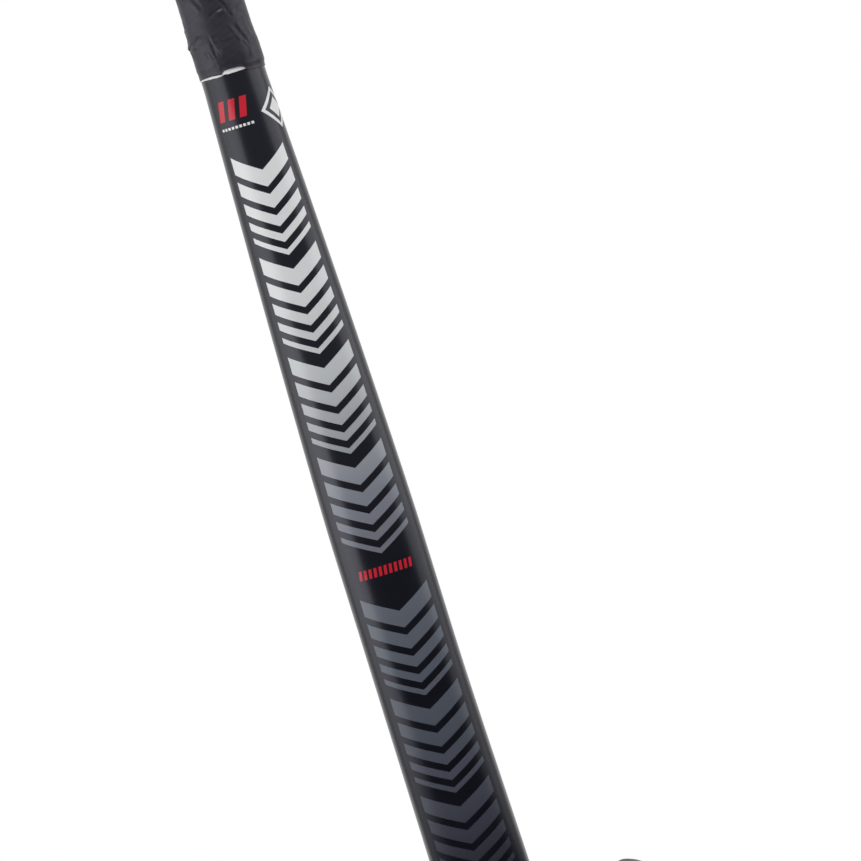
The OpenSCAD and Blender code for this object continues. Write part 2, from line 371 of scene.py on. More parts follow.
# slanted bar between f and f + width over a stretch of s, leaning by lean
def slantBar(f, width, lean, top, length):
    p = np.linspace(0, 1, 9)[None, :]
    q = np.linspace(0, 1, 2 + int(length / prints["step"]))[:, None]
    return film(f + width * p - lean * q, top + length * q + 0 * p)


# a diamond's rows run from its top to its bottom, each as wide as the distance to the nearer tip allows; a
# hollow one is made of a left and a right half
def diamondFilm(centre, half, hollow=0.0):
    films = []
    for side in ((-1, 1) if hollow else (0,)):
        q = np.linspace(-1, 1, 33)[:, None]
        wide = half * (1 - np.abs(q))
        hole = np.maximum(0, hollow * half - np.abs(q) * half)
        low, high = {0: (-wide, wide), -1: (-wide, -hole), 1: (hole, wide)}[side]
        p = np.linspace(0, 1, 13)[None, :]
        films.append(film(centre[0] + mix(low, high, p) / prints["neckArc"], centre[1] + half * q + 0 * p))
    return films


# The column's strokes get thinner down each group, and a wider gap parts the groups. Slashes, squares and dashes
# are rows of bars, and the diamond is a hollow one round a small one.
def makePrints():
    c = prints
    bars = []
    for top, groups in c["columns"]:
        for group in range(groups):
            for stroke in c["strokes"]:
                bars.append(chevron(top, stroke))
                top += stroke + c["space"]
            top += c["groupSpace"] - c["space"]
    column = joinFilms("printed_chevrons", bars)
    reds = [slantBar(f, c["slashWidth"], c["slashLean"], c["slashTop"], c["slashLength"]) for f in c["slashes"]]
    squares, dashes = np.linspace(*c["squareSpan"], c["squares"]), np.linspace(*c["dashSpan"], c["dashes"])
    reds += [slantBar(f, c["squareWidth"], c["squareLean"], c["squareRow"], c["squareLength"]) for f in squares]
    red = joinFilms("printed_red_slashes", reds)
    whites = [slantBar(f, c["dashWidth"], 0.0, c["dashRow"], c["dashLength"]) for f in dashes]
    centre, half = c["diamond"][:2], c["diamond"][2]
    whites += diamondFilm(centre, half, 1 - c["diamondStroke"]) + diamondFilm(centre, half * c["diamondHeart"])
    white = joinFilms("printed_white_diamond", whites)
    return column, red, white


chevronPiece, redPiece, whitePiece = makePrints()
print("prints:", [len(piece.data.polygons) for piece in (chevronPiece, redPiece, whitePiece)], "faces")


# What the round layers on the handle share: the wound grip's radius, where it starts, and the gap between them.
handle = dict(gripRadius=15.8, wrapBase=stick["gripEnd"] + 12, gap=0.05)


# radius of the laminate, read off its outline: angle 0 is the middle of the back and 90 the toe's side
def laminateRadius(angle, h):
    x, t = sections(shaftStations(h), flats=4, corners=30, backs=60)
    found, radius = np.degrees(np.arctan2(x, -t)), np.hypot(x, t)
    return np.array([np.interp(angle, at, value, period=360) for at, value in zip(found, radius)])


# points round the handle's axis, h being the height above the base
def aroundHandle(angle, radius, h):
    a = np.radians(angle)
    return np.stack([radius * np.sin(a), -radius * np.cos(a), h - stick["handHeight"] + 0 * radius], -1) * mm


# quiet unevenness between -1 and 1: four waves that never line up
def ripple(a, b):
    return (np.sin(1.7 * a + 0.9 * b) + np.sin(2.9 * b - 1.1 * a + 1.3)
            + np.sin(4.3 * a + 3.1 * b + 0.4) + np.sin(6.1 * b - 5.3 * a + 2.2)) / 4


# The wound cushion strip starts and ends with part turns that the wrap's two ends cut off.
strip = dict(
    turns=14, turnsBelow=1.3, turnsAbove=0.2, width=29.0, lap=0.8, lapSpread=14.0, lapStart=6.0, edgeRound=0.55,
    sunk=0.55, sinkBefore=1.0, sinkSpread=2.5, bury=0.3, inside=14.3, clear=0.3, degrees=4.0,
    unevenness=0.05, unevenStart=4.0,
)


# The strip's profile is carried up a helix: its lower edge climbs one pitch a turn and rests on the turn below.
# Outside, its radius stands a lap proud at the lower edge and sinks to the plain grip, then under the next turn.
def makeStrip():
    c = strip
    top = capBase - handle["gap"]
    pitch = (top - bandTop) / c["turns"]
    run = np.arange(-c["turnsBelow"] * 360, (c["turns"] + c["turnsAbove"]) * 360, c["degrees"])[:, None]
    edge = np.linspace(0, math.pi / 2, 6)
    w = np.concatenate([np.linspace(c["width"], pitch + 2, 4, endpoint=False),
                        np.linspace(pitch + 2, pitch - 1, 5, endpoint=False),
                        np.linspace(pitch - 1, c["lapSpread"], 5, endpoint=False),
                        np.linspace(c["lapSpread"], c["edgeRound"], 11, endpoint=False),
                        c["edgeRound"] * (1 - np.sin(edge))])[None, :]
    drop = np.concatenate([np.zeros(25), c["edgeRound"] * (1 - np.cos(edge))])[None, :]
    angle = 90 - run + 0 * w
    h = np.clip(bandTop + pitch * run / 360 + w, handle["wrapBase"], top)
    proud = c["lap"] * ease((h - bandTop) / c["lapStart"]) * (1 - ease(w / c["lapSpread"]))
    sunk = c["sunk"] * ease((w - pitch + c["sinkBefore"]) / c["sinkSpread"])
    uneven = c["unevenness"] * ripple(np.radians(angle) * 2, h / 6) * ease((h - bandTop) / c["unevenStart"])
    outside = handle["gripRadius"] + proud - sunk - drop + uneven
    wIn = np.array([0.0, c["width"] - pitch, c["width"] - pitch + 1.5, c["width"]])[None, :]
    hIn = np.clip(bandTop + pitch * run / 360 + wIn, handle["wrapBase"], top)
    inside = np.where(wIn < c["width"] - pitch + 1, handle["gripRadius"] - c["bury"], 0) + 0 * hIn
    inside = np.where(inside > 0, inside, np.maximum(c["inside"], halfWidth(hIn) + c["clear"]))
    rings = np.concatenate([aroundHandle(angle, outside, h), aroundHandle(90 - run + 0 * wIn, inside, hIn)], 1)
    piece = closedSkin("cushion_grip_strip", rings)
    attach(piece, "root")
    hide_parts("grip_wrap")
    return piece


stripPiece = makeStrip()
print("grip strip:", len(stripPiece.data.polygons), "faces")


# The finishing band over the strip's lower end is a thin tape. Its swellings are measured above the plain grip
# at heights above the grip's end, for the side away from the toe and for the toe's side. It lies at least a little
# over the white tape, however deep a crease is. Its inside has few rows, bunched towards the lower edge.
band = dict(
    thickness=0.35, endRise=0.42, riseHeight=9.0, depth=1.7, least=0.38, inside=0.26, wall=0.08, lip=0.10,
    rows=190, innerRows=28, bunching=1.6, columns=400, levels=60, arc=16.4, unevenness=0.07,
    swellHeight=3.0, calmLow=2.5, calmHigh=3.0, liftInside=0.8,
    farSide=((-2, 0.0), (1, 0.0), (3, 0.15), (5, 0.5), (8, 0.5), (10, 0.45), (14, 0.6), (15.2, 0.72),
             (16.4, 1.05), (17.6, 0.92), (19, 0.78), (22, 0.5), (26, 0.25), (31, 0.05), (48, 0.0)),
    toeSide=((-2, 0.0), (0, 0.2), (2, 0.75), (6, 0.87), (10, 0.83), (12.5, 0.76), (15, 0.45), (17, 0.24),
             (21, 0.06), (26, 0.0), (48, 0.0)),
    # the lower edge, as angle and height: it steps up where the tape's end lies, and covers the white on the toe's
    # side; above a step, the tape stands lifted
    edge=((-180, -1.6), (-150, -1.2), (-110, 0.0), (-72, 0.45), (-41, 0.7), (-27, 0.4), (-19, 0.1),
          (-17, 1.0), (-13, 1.65), (-8, 1.75), (2, 1.65), (13, 1.45), (21, 1.0), (25, 0.2), (29, -1.1),
          (40, -1.7), (180, -1.6)),
    lifted=((-19, 0.0), (-10, 0.35), (15, 0.45), (28, 0.1), (34, 0.0)),
    # creases: from angle, height, to angle, height, width and how far they stand up or lie in
    creases=(
        (-40, 21.8, -66, 17.6, 0.42, -0.34), (-66, 17.6, -88, 15.0, 0.5, -0.34),
        (-36, 20.4, -60, 16.6, 0.9, 0.16), (-18, 21.0, -16, 16.0, 0.50, 0.20),
        (-16, 16.0, -5, 9.0, 0.50, 0.20), (-12, 18.8, -6, 11.4, 0.55, -0.14),
        (-19, 17.8, -18, 9.0, 0.55, -0.15), (-25, 15.0, -21, 8.4, 0.5, 0.13),
        (-30, 12.0, -27, 8.2, 0.5, 0.14), (-38, 12.6, -34, 7.6, 0.55, 0.16), (-34, 7.6, -24, 5.2, 0.55, 0.13),
        (-40, 9.6, -22, 4.4, 0.6, -0.12), (18, 22.8, 23, 18.2, 0.50, 0.17), (23, 18.2, 31, 13.4, 0.50, 0.19),
        (27, 21.4, 34, 17.0, 0.6, -0.17), (34, 17.0, 46, 10.2, 0.6, -0.16), (34, 22.8, 39, 18.2, 0.7, 0.18),
        (39, 18.2, 48, 13.0, 0.7, 0.15), (31, 13.2, 41, 9.0, 0.55, -0.13), (41, 6.6, 48, 6.2, 1.5, 0.26),
        (52, 24.0, 58, 14.0, 0.8, 0.14), (-11, 28.6, 0, 30.2, 0.5, -0.20), (0, 30.2, 14, 31.2, 0.5, -0.17),
        (4, 29.2, 19, 30.3, 0.8, 0.20), (13, 36.0, 21, 31.8, 0.55, -0.16), (17, 36.6, 25, 32.6, 0.7, 0.14),
        (-38, 39.5, -24, 32.6, 0.9, 0.15), (-30, 40.0, -19, 34.0, 0.7, -0.12),
        (28, 27.0, 34, 29.6, 1.1, 0.24), (46, 30.0, 58, 28.0, 1.2, 0.20), (22, 30.6, 28, 26.0, 0.6, -0.15),
        (-60, 33.0, -50, 25.0, 1.2, 0.10), (-8, 40.0, 4, 36.5, 0.8, 0.12), (-72, 44.0, -46, 40.0, 0.6, -0.18),
        (34, 44.0, 52, 38.0, 0.8, -0.14), (-12, 46.0, 10, 42.5, 0.8, 0.12),
    ),
    overrun=1.0, fadeLength=2.4,
    farCreases=34, farAngle=(64, 280), farTop=(9, 45), farTurn=(6, 24), farDrop=(3, 9), farWidth=(0.5, 0.9),
    farRise=(-0.16, 0.19),
)


# a crease is a bell across its line, faded out towards both of its ends; those on the far side are scattered
def creaseField(angle, up):
    c = band
    rng = np.random.default_rng(7)
    lines = list(c["creases"])
    for crease in range(c["farCreases"]):
        a, top = rng.uniform(*c["farAngle"]), rng.uniform(*c["farTop"])
        end = (a + rng.uniform(*c["farTurn"]), top - rng.uniform(*c["farDrop"]))
        lines.append((a, top, *end, rng.uniform(*c["farWidth"]), rng.choice(c["farRise"])))
    total = np.zeros(np.broadcast(angle, up).shape)
    turn = math.radians(1) * c["arc"]
    for a0, u0, a1, u1, width, rise in lines:
        dx, du = (a1 - a0) * turn, u1 - u0
        length = math.hypot(dx, du)
        x = ((angle - a0 + 180) % 360 - 180) * turn
        along = (x * dx + (up - u0) * du) / length
        across = (x * du - (up - u0) * dx) / length
        shown = ease((along + c["overrun"]) / c["fadeLength"])
        shown = shown * ease((length + c["overrun"] - along) / c["fadeLength"])
        total = total + rise * bell(across, width) * shown
    return total


# The band's radius goes from the laminate's at its edge to the wound grip's. Between its two sides the swelling
# is mixed by the sine of the angle. Inside, it rests just above the white tape.
def makeBand():
    c = band
    angle = np.linspace(-180, 180, c["columns"], endpoint=False)[None, :]
    low = stick["gripEnd"] + np.interp(angle, *zip(*c["edge"]))
    h = mix(bandTop, low, np.linspace(0, 1, c["rows"])[:, None])
    levels = np.linspace(stick["gripEnd"] - 4, bandTop, c["levels"])
    table = laminateRadius(angle[0], levels)
    place = np.clip((h - levels[0]) / (levels[1] - levels[0]), 0, c["levels"] - 1.001)
    row, column = place.astype(int), np.arange(c["columns"])[None, :]
    laminate = mix(table[row, column], table[row + 1, column], place - row)
    up = h - stick["gripEnd"]
    toeShare = (1 + np.sin(np.radians(angle))) / 2
    swell = mix(np.interp(up, *zip(*c["farSide"])), np.interp(up, *zip(*c["toeSide"])), toeShare)
    swollen = ease((h - low) / c["swellHeight"])
    lift = np.interp(angle, *zip(*c["lifted"])) * (1 - swollen)
    over = mix(laminate + c["endRise"], handle["gripRadius"] + c["thickness"], ease((h - low) / c["riseHeight"]))
    near = ease((h - low) / c["calmLow"]) * ease((bandTop - h) / c["calmHigh"])
    detail = c["depth"] * creaseField(angle, up) + c["unevenness"] * ripple(np.radians(angle) * 2.5, up / 3)
    outside = np.maximum(over + swell * swollen + lift + detail * near, laminate + c["least"])
    back = ((c["rows"] - 1) * (1 - np.linspace(0, 1, c["innerRows"]) ** c["bunching"])).round().astype(int)
    lip = np.array([0.0, 0.45, 0.9])[:, None]
    inner = laminate + np.minimum(c["inside"], over - laminate - c["wall"]) + lift * c["liftInside"]
    lipRadius = mix(outside[-1:], inner[-1:], ease(lip))
    rings = np.concatenate([
        aroundHandle(angle, outside, h),
        aroundHandle(angle, lipRadius, low - c["lip"] * np.sin(math.pi * lip)),
        aroundHandle(angle, inner[back], h[back])])
    piece = sleeve("finishing_band_skin", rings)
    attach(piece, "root")
    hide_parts("finishing_band")
    return piece


bandPiece = makeBand()
print("finishing band:", len(bandPiece.data.polygons), "faces")


# White underlay: the tape that the grip is laid on, which shows as a thin ring below the band.
underlay = dict(
    high=20.0, rows=24, columns=300, rise=0.20, fray=0.06, lip=0.06,
    low=((-180, -1.2), (-110, -0.7), (-66, -0.3), (-29, -0.7), (-22, -0.6), (-17, -0.2), (-13, -0.15),
         (-8, -0.5), (10, -0.5), (22, -0.35), (28, -0.3), (90, -0.9), (180, -1.2)),
)


# outside, the tape stands just over the laminate; its lip is rounded, and its inside comes back up close to it
def makeUnderlay():
    c = underlay
    angle = np.linspace(-180, 180, c["columns"], endpoint=False)[None, :]
    low = np.interp(angle, *zip(*c["low"])) + c["fray"] * ripple(np.radians(angle) * 5, 1.0)
    h = mix(c["high"], low, np.linspace(0, 1, c["rows"])[:, None]) + stick["gripEnd"]
    laminate = laminateRadius(angle[0], h.mean(1))
    lip = np.array([0.35, 0.75])[:, None]
    lipRadius = laminate[-1:] + mix(c["rise"], handle["gap"], lip)
    rings = np.concatenate([
        aroundHandle(angle, laminate + c["rise"], h),
        aroundHandle(angle, lipRadius, h[-1:] - c["lip"] * np.sin(math.pi * lip)),
        aroundHandle(angle, laminate[::-1] + handle["gap"], h[::-1])])
    piece = sleeve("white_underlay", rings)
    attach(piece, "root")
    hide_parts("grip_underlay")
    return piece


underlayPiece = makeUnderlay()
print("underlay:", len(underlayPiece.data.polygons), "faces")


# Butt cap: a turned rubber cup with a grooved wall, a rounded rim and a ringed top. topSteps are radii and
# heights from its top, and a groove's middle lies grooveOut beyond the wall.
cap = dict(
    radius=17.0, bore=14.25, boreRound=0.4, roof=12.1, columns=144, rim=3.0, footRound=0.5,
    groove=0.45, grooveOut=0.1, grooveHeights=(3.2, 5.2),
    topSteps=((11.4, 0), (11.1, -0.35), (9.7, -0.35), (9.4, 0), (4.2, 0), (3.6, -0.5), (0.01, -0.8)),
)


# arc of a circle as turned points: radius and height, from one angle to another in degrees
def arcPoints(r, z, size, start, end, count):
    a = np.radians(np.linspace(start, end, count))
    return np.stack([r + size * np.cos(a), z + size * np.sin(a)], 1)


# the profile runs down the bore, then over foot, wall, rim and top, and is turned about the handle's axis
def makeCap():
    c = cap
    top = stick["length"] - capBase
    bore, roof, cut = c["bore"], c["roof"], c["boreRound"]
    wall = [arcPoints(c["radius"] - c["footRound"], c["footRound"], c["footRound"], -90, 0, 6)]
    for z in c["grooveHeights"]:
        wall.append(arcPoints(c["radius"] + c["grooveOut"], z, c["groove"], 250, 110, 9))
    rim = arcPoints(c["radius"] - c["rim"], top - c["rim"], c["rim"], 0, 90, 14)
    steps = [[r, top + z] for r, z in c["topSteps"]]
    inside = [[0.01, roof], [bore - cut, roof], [bore, roof - cut], [bore, 0.0]]
    profile = np.vstack([inside, *wall, rim, steps])[::-1]
    angle = np.linspace(-180, 180, c["columns"], endpoint=False)[None, :]
    r, z = profile[:, :1], profile[:, 1:] + capBase
    piece = sleeve("rubber_butt_cap", aroundHandle(angle, r + 0 * angle, z + 0 * angle))
    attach(piece, "root")
    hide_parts("butt_cap")
    return piece


capPiece = makeCap()
print("butt cap:", len(capPiece.data.polygons), "faces")


# add makes a node of a tree with settings, and wire links two sockets
def nodeTools(tree):
    def add(kind, **values):
        node = tree.nodes.new(kind)
        for name, value in values.items():
            setattr(node, name, value)
        return node

    def wire(a, b):
        tree.links.new(a, b)

    return add, wire


# shader group: fine noise and noise of about an eighth of its scale on the Object coordinates, mixed, and put out
# as a mask and a bumped normal
def makeGrainGroup():
    tree = bpy.data.node_groups.new("fine grain", "ShaderNodeTree")
    face = tree.interface
    for name, kind, value in (("Scale", "NodeSocketFloat", 900.0), ("Stretch", "NodeSocketFloat", 1.0),
                              ("Coarse", "NodeSocketFloat", 0.4), ("Height", "NodeSocketFloat", 0.0001)):
        face.new_socket(name, in_out="INPUT", socket_type=kind).default_value = value
    face.new_socket("Mask", in_out="OUTPUT", socket_type="NodeSocketFloat")
    face.new_socket("Normal", in_out="OUTPUT", socket_type="NodeSocketVector")
    add, wire = nodeTools(tree)
    given, result = add("NodeGroupInput"), add("NodeGroupOutput")
    place = add("ShaderNodeTexCoord")
    pull = add("ShaderNodeCombineXYZ")
    pull.inputs["X"].default_value = pull.inputs["Y"].default_value = 1.0
    wire(given.outputs["Stretch"], pull.inputs["Z"])
    spread = add("ShaderNodeVectorMath", operation="MULTIPLY")
    wire(place.outputs["Object"], spread.inputs[0])
    wire(pull.outputs[0], spread.inputs[1])
    fine = add("ShaderNodeTexNoise")
    fine.inputs["Detail"].default_value = 3.0
    wire(spread.outputs[0], fine.inputs["Vector"])
    wire(given.outputs["Scale"], fine.inputs["Scale"])
    wide = add("ShaderNodeMath", operation="MULTIPLY")
    wide.inputs[1].default_value = 0.12
    wire(given.outputs["Scale"], wide.inputs[0])
    coarse = add("ShaderNodeTexNoise")
    coarse.inputs["Detail"].default_value = 2.0
    wire(spread.outputs[0], coarse.inputs["Vector"])
    wire(wide.outputs[0], coarse.inputs["Scale"])
    both = add("ShaderNodeMix", data_type="FLOAT")
    wire(given.outputs["Coarse"], both.inputs["Factor"])
    wire(fine.outputs["Fac"], both.inputs["A"])
    wire(coarse.outputs["Fac"], both.inputs["B"])
    bump = add("ShaderNodeBump")
    wire(both.outputs["Result"], bump.inputs["Height"])
    wire(given.outputs["Height"], bump.inputs["Distance"])
    wire(both.outputs["Result"], result.inputs["Mask"])
    wire(bump.outputs["Normal"], result.inputs["Normal"])
    return tree


grainGroup = makeGrainGroup()


# a ramp from (place, colour) stops
def colourRamp(add, stops, interpolation="LINEAR"):
    ramp = add("ShaderNodeValToRGB")
    ramp.color_ramp.interpolation = interpolation
    elements = ramp.color_ramp.elements
    for k, (at, colour) in enumerate(stops):
        element = elements[k] if k < 2 else elements.new(at)
        element.position, element.color = at, (*colour, 1)
    return ramp


# the same from (place, brightness) stops
def greyRamp(add, stops, interpolation="LINEAR"):
    return colourRamp(add, [(at, (grey,) * 3) for at, grey in stops], interpolation)


# a plain Principled material whose roughness and colour wander between two values with the grain's mask
def grainMaterial(name, colours, roughness, scale, coarse, height, stretch=1.0, specular=0.5, shine=(1, 1, 1)):
    material = bpy.data.materials.new(name)
    material.use_nodes = True
    tree = material.node_tree
    add, wire = nodeTools(tree)
    shader = tree.nodes["Principled BSDF"]
    shader.inputs["Specular IOR Level"].default_value = specular
    shader.inputs["Specular Tint"].default_value = (*shine, 1)
    grain = add("ShaderNodeGroup", node_tree=grainGroup)
    for key, value in (("Scale", scale), ("Coarse", coarse), ("Height", height), ("Stretch", stretch)):
        grain.inputs[key].default_value = value
    tint = add("ShaderNodeMix", data_type="RGBA")
    tint.inputs["A"].default_value = (*colours[0], 1)
    tint.inputs["B"].default_value = (*colours[1], 1)
    wire(grain.outputs["Mask"], tint.inputs["Factor"])
    wire(tint.outputs["Result"], shader.inputs["Base Color"])
    rough = add("ShaderNodeMapRange")
    rough.inputs["From Min"].default_value, rough.inputs["From Max"].default_value = 0.3, 0.7
    rough.inputs["To Min"].default_value, rough.inputs["To Max"].default_value = roughness
    wire(grain.outputs["Mask"], rough.inputs["Value"])
    wire(rough.outputs["Result"], shader.inputs["Roughness"])
    wire(grain.outputs["Normal"], shader.inputs["Normal"])
    return material, shader, add, wire


finishes = dict(
    lacquer=dict(colours=((0.0022, 0.0030, 0.0068), (0.0030, 0.0039, 0.0084)), roughness=(0.26, 0.30),
                 scale=700.0, coarse=0.7, height=0.000004, specular=0.47, shine=(0.88, 0.88, 1.0)),
    print=dict(roughness=(0.28, 0.32), scale=700.0, coarse=0.7, height=0.000004, specular=0.45),
    band=dict(colours=((0.018, 0.0165, 0.024), (0.025, 0.0235, 0.033)), roughness=(0.38, 0.48),
              scale=2600.0, coarse=0.5, height=0.00003, stretch=0.5, specular=0.44, shine=(0.92, 0.88, 1.0)),
    strip=dict(colours=((0.022, 0.022, 0.025), (0.032, 0.032, 0.035)), roughness=(0.62, 0.75),
               scale=3200.0, coarse=0.35, height=0.00005, stretch=0.8, specular=0.35),
    underlay=dict(colours=((0.78, 0.78, 0.77), (0.86, 0.86, 0.85)), roughness=(0.5, 0.6),
                  scale=1800.0, coarse=0.4, height=0.00001, specular=0.4),
    cap=dict(colours=((0.015, 0.015, 0.017), (0.022, 0.022, 0.024)), roughness=(0.48, 0.6),
             scale=2200.0, coarse=0.4, height=0.00002, specular=0.4),
    core=dict(colours=((0.52, 0.42, 0.24), (0.66, 0.55, 0.35)), roughness=(0.8, 0.95),
              scale=900.0, coarse=0.5, height=0.0001, specular=0.3),
    nylon=dict(colours=((0.66, 0.63, 0.55), (0.74, 0.71, 0.63)), roughness=(0.3, 0.45),
               scale=400.0, coarse=0.6, height=0.00002, specular=0.5),
    foam=dict(colours=((0.70, 0.55, 0.26), (0.80, 0.66, 0.36)), roughness=(0.85, 0.95),
              scale=1500.0, coarse=0.3, height=0.0002, specular=0.2),
    plug=dict(colours=((0.09, 0.09, 0.10), (0.12, 0.12, 0.13)), roughness=(0.45, 0.55),
              scale=1500.0, coarse=0.4, height=0.00002, specular=0.5),
)
lacquer = grainMaterial("satin_black_lacquer", **finishes["lacquer"])[0]
bandRubber = grainMaterial("band_rubber", **finishes["band"])[0]
stripFoam = grainMaterial("cushion_foam", **finishes["strip"])[0]
underlayTape = grainMaterial("white_tape", **finishes["underlay"])[0]
capRubber = grainMaterial("cap_rubber", **finishes["cap"])[0]

# what the printed column's white turns to on its way down: height above the base, and colour
fade = dict(
    stops=((487.0, (0.76, 0.77, 0.775)), (412.0, (0.70, 0.705, 0.72)), (391.0, (0.60, 0.615, 0.63)),
           (371.0, (0.53, 0.555, 0.575)), (350.0, (0.405, 0.42, 0.45)), (308.0, (0.208, 0.224, 0.268)),
           (287.0, (0.168, 0.180, 0.216)), (246.0, (0.112, 0.127, 0.160)), (182.0, (0.073, 0.083, 0.109)),
           (160.0, (0.064, 0.071, 0.097)), (119.0, (0.029, 0.029, 0.044))),
)


# the colour is read off a ramp on the Object coordinate Z
def makeFadeInk():
    material, shader, add, wire = grainMaterial("fading_ink", ((0.5,) * 3, (0.5,) * 3), **finishes["print"])
    tree = material.node_tree
    place, split = add("ShaderNodeTexCoord"), add("ShaderNodeSeparateXYZ")
    wire(place.outputs["Object"], split.inputs[0])
    span = add("ShaderNodeMapRange")
    low, high = fade["stops"][-1][0], fade["stops"][0][0]
    zOf = {h: float(bend(0.0, 0.0, np.float64(h))[..., 2]) for h, colour in fade["stops"]}
    length = zOf[high] - zOf[low]
    span.inputs["From Min"].default_value, span.inputs["From Max"].default_value = zOf[low], zOf[high]
    wire(split.outputs["Z"], span.inputs["Value"])
    ramp = colourRamp(add, [((zOf[h] - zOf[low]) / length, colour) for h, colour in reversed(fade["stops"])])
    wire(span.outputs["Result"], ramp.inputs["Fac"])
    wire(ramp.outputs["Color"], shader.inputs["Base Color"])
    return material


fadingInk = makeFadeInk()
redInk = grainMaterial("red_ink", ((0.56, 0.008, 0.026), (0.60, 0.010, 0.030)), **finishes["print"])[0]
whiteInk = grainMaterial("white_ink", ((0.76, 0.76, 0.78), (0.82, 0.82, 0.83)), **finishes["print"])[0]

dressing = {
    shaftPiece: lacquer, chevronPiece: fadingInk, redPiece: redInk, whitePiece: whiteInk,
    stripPiece: stripFoam, bandPiece: bandRubber, underlayPiece: underlayTape, capPiece: capRubber,
    nodes["head_core"]: grainMaterial("foamed_resin", **finishes["core"])[0],
    nodes["bladder_tube"]: grainMaterial("nylon_film", **finishes["nylon"])[0],
    nodes["handle_foam"]: grainMaterial("rigid_foam", **finishes["foam"])[0],
    nodes["butt_plug"]: grainMaterial("plug_plastic", **finishes["plug"])[0],
}
for piece, material in dressing.items():
    piece.data.materials.clear()
    piece.data.materials.append(material)
print("materials:", len(dressing))

# The room: a small pale floor that fades into the white background, a soft key light from above and in front,
# and a tall softbox on each side, brightest at its middle, whose shine runs down the lacquer. front and behind
# give the background's brightness in a shine by how far it looks down, and glow and across a softbox's by its own
# height and width.
room = dict(
    floorRadius=0.60, floorFade=(0.06, 0.50), floorPaint=(0.93, 0.93, 0.93), surround=0.36,
    front=((-1.0, 0.35), (0.0, 0.47), (0.26, 0.01), (0.42, 0.01), (0.80, 0.45)),
    behind=((-0.8, 0.35), (-0.12, 1.0), (0.10, 1.0), (0.6, 0.40)), behindFrom=(-0.40, -0.92),
    middle=(0.02, 0.0, -0.45), key=42.0, keyPlace=(0.65, -1.6, 1.9), keySize=(1.1, 1.1),
    sideDistance=1.25,
    glow=((0.0, 0.10), (0.22, 0.28), (0.35, 0.62), (0.47, 1.0), (0.53, 1.0), (0.65, 0.62), (0.78, 0.28),
          (1.0, 0.10)),
    left=dict(turn=-79.0, size=(1.82, 2.0), power=34.0, height=-0.64,
              across=((0.0, 0.42), (0.25, 0.55), (0.45, 0.85), (0.62, 1.25), (0.74, 1.35), (1.0, 1.35))),
    right=dict(turn=88.0, size=(1.27, 2.0), power=13.5, height=-0.52, across=((0.0, 1.0), (1.0, 1.0))),
)


# shader group: how white the background is. It is 1 to the camera and through glass. In a shine it is white
# behind the object and grey in front, each by how steeply the shine looks up or down.
def makeBackdropGroup():
    tree = bpy.data.node_groups.new("backdrop", "ShaderNodeTree")
    tree.interface.new_socket("White", in_out="OUTPUT", socket_type="NodeSocketFloat")
    add, wire = nodeTools(tree)
    path, look, split = add("ShaderNodeLightPath"), add("ShaderNodeNewGeometry"), add("ShaderNodeSeparateXYZ")
    wire(look.outputs["Incoming"], split.inputs[0])
    steep = add("ShaderNodeMapRange")
    steep.inputs["From Min"].default_value = -1.0
    wire(split.outputs["Z"], steep.inputs["Value"])
    turn = add("ShaderNodeMapRange", interpolation_type="SMOOTHSTEP")
    turn.inputs["From Min"].default_value, turn.inputs["From Max"].default_value = room["behindFrom"]
    wire(split.outputs["Y"], turn.inputs["Value"])
    facing = add("ShaderNodeMix", data_type="FLOAT")
    wire(turn.outputs["Result"], facing.inputs["Factor"])
    for side, socket in (("front", "A"), ("behind", "B")):
        ramp = greyRamp(add, [((z + 1) / 2, grey) for z, grey in room[side]])
        wire(steep.outputs["Result"], ramp.inputs["Fac"])
        wire(ramp.outputs["Color"], facing.inputs[socket])
    shine, clear, both = (add("ShaderNodeMath", operation=kind) for kind in ("MULTIPLY", "MAXIMUM", "MAXIMUM"))
    wire(path.outputs["Is Glossy Ray"], shine.inputs[0])
    wire(facing.outputs["Result"], shine.inputs[1])
    wire(path.outputs["Is Camera Ray"], clear.inputs[0])
    wire(path.outputs["Is Transmission Ray"], clear.inputs[1])
    wire(clear.outputs[0], both.inputs[0])
    wire(shine.outputs[0], both.inputs[1])
    wire(both.outputs[0], add("NodeGroupOutput").inputs["White"])
    return tree


backdropGroup = makeBackdropGroup()


# what is neither camera, glass nor shine gets an even dim light from all round
def makeBackground():
    world = bpy.data.worlds.new("pale studio")
    bpy.context.scene.world = world
    world.use_nodes = True
    tree = world.node_tree
    tree.nodes.clear()
    add, wire = nodeTools(tree)
    backdrop, path = add("ShaderNodeGroup", node_tree=backdropGroup), add("ShaderNodeLightPath")
    dull, strength = add("ShaderNodeMapRange"), add("ShaderNodeMath", operation="MAXIMUM")
    dull.inputs["To Min"].default_value, dull.inputs["To Max"].default_value = room["surround"], 0.0
    wire(path.outputs["Is Glossy Ray"], dull.inputs["Value"])
    wire(backdrop.outputs["White"], strength.inputs[0])
    wire(dull.outputs["Result"], strength.inputs[1])
    light = add("ShaderNodeBackground")
    light.inputs["Color"].default_value = (1, 1, 1, 1)
    wire(strength.outputs[0], light.inputs["Strength"])
    wire(light.outputs[0], add("ShaderNodeOutputWorld").inputs["Surface"])


